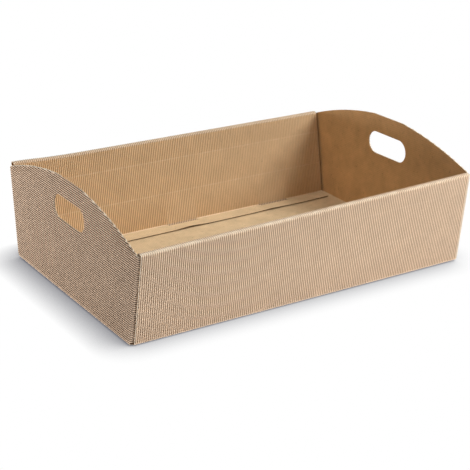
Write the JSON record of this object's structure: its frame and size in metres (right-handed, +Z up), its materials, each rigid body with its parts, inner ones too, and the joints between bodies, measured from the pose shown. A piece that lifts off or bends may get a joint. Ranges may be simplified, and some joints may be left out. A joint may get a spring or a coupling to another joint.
{
  "type": "cardboard tray box",
  "caption": "Open rectangular tray folded from fluted kraft board, with leaning double long walls and arched ends with hand holes, for carrying or displaying goods.",
  "frame": {"origin": "centre of the floor's underside, on the surface that the tray stands on", "axes": "+X along the long walls, +Y across the tray from one long wall to the other, +Z up"},
  "size_m": [0.42, 0.3014, 0.132],
  "materials": {
    "kraft_board": "matte brown kraft with fine open flutes"
  },
  "bodies": {
    "root": {"tray": "kraft_board"}
  },
  "joints": []
}
